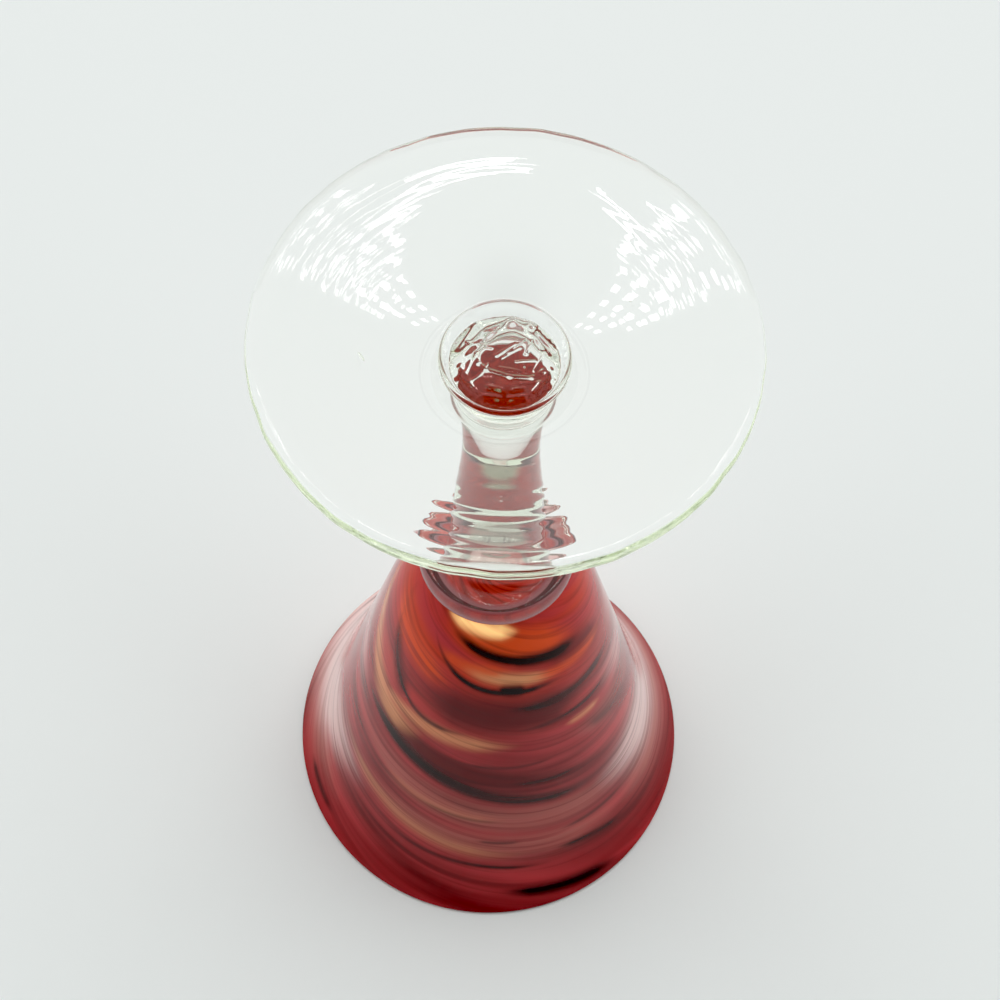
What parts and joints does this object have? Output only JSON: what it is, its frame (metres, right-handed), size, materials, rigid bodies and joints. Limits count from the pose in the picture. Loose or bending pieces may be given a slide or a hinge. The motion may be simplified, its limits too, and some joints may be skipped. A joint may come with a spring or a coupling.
{
  "type": "water goblet",
  "caption": "Blown stemmed drinking glass, conical bowl wound with red, amber and black colour, clear stem and domed foot, stored upside down on its rim.",
  "frame": {"origin": "centre of the rim plane, on the surface that the glass stands on upside down, as pictured", "axes": "+Z along the axis of the glass from the rim up to the foot; -Y is the side that faces the picture's camera. Half a turn about X stands the glass upright on its foot."},
  "size_m": [0.089, 0.089, 0.1814],
  "materials": {
    "clear_glass": "fire-polished clear soda-lime glass",
    "red_glass": "streaky selenium red glass, polished",
    "black_glass": "dense plum-black glass, polished",
    "amber_glass": "amber glass, polished",
    "orange_glass": "orange glass, polished",
    "mauve_glass": "dull mauve glass, polished"
  },
  "bodies": {
    "root": {"bowl_lining": "clear_glass", "bowl_button": "clear_glass", "stem": "clear_glass", "foot_button": "clear_glass", "foot": "clear_glass", "bowl_coat": "red_glass", "trail_black_crown": "black_glass", "trail_amber_crown": "amber_glass", "trail_black_shoulder": "black_glass", "trail_amber_shoulder": "amber_glass", "trail_orange_back": "orange_glass", "trail_black_side": "black_glass", "trail_black_waist": "black_glass", "trail_black_back": "black_glass", "trail_mauve_flare": "mauve_glass", "trail_amber_back": "amber_glass", "trail_black_rim": "black_glass"}
  },
  "joints": []
}
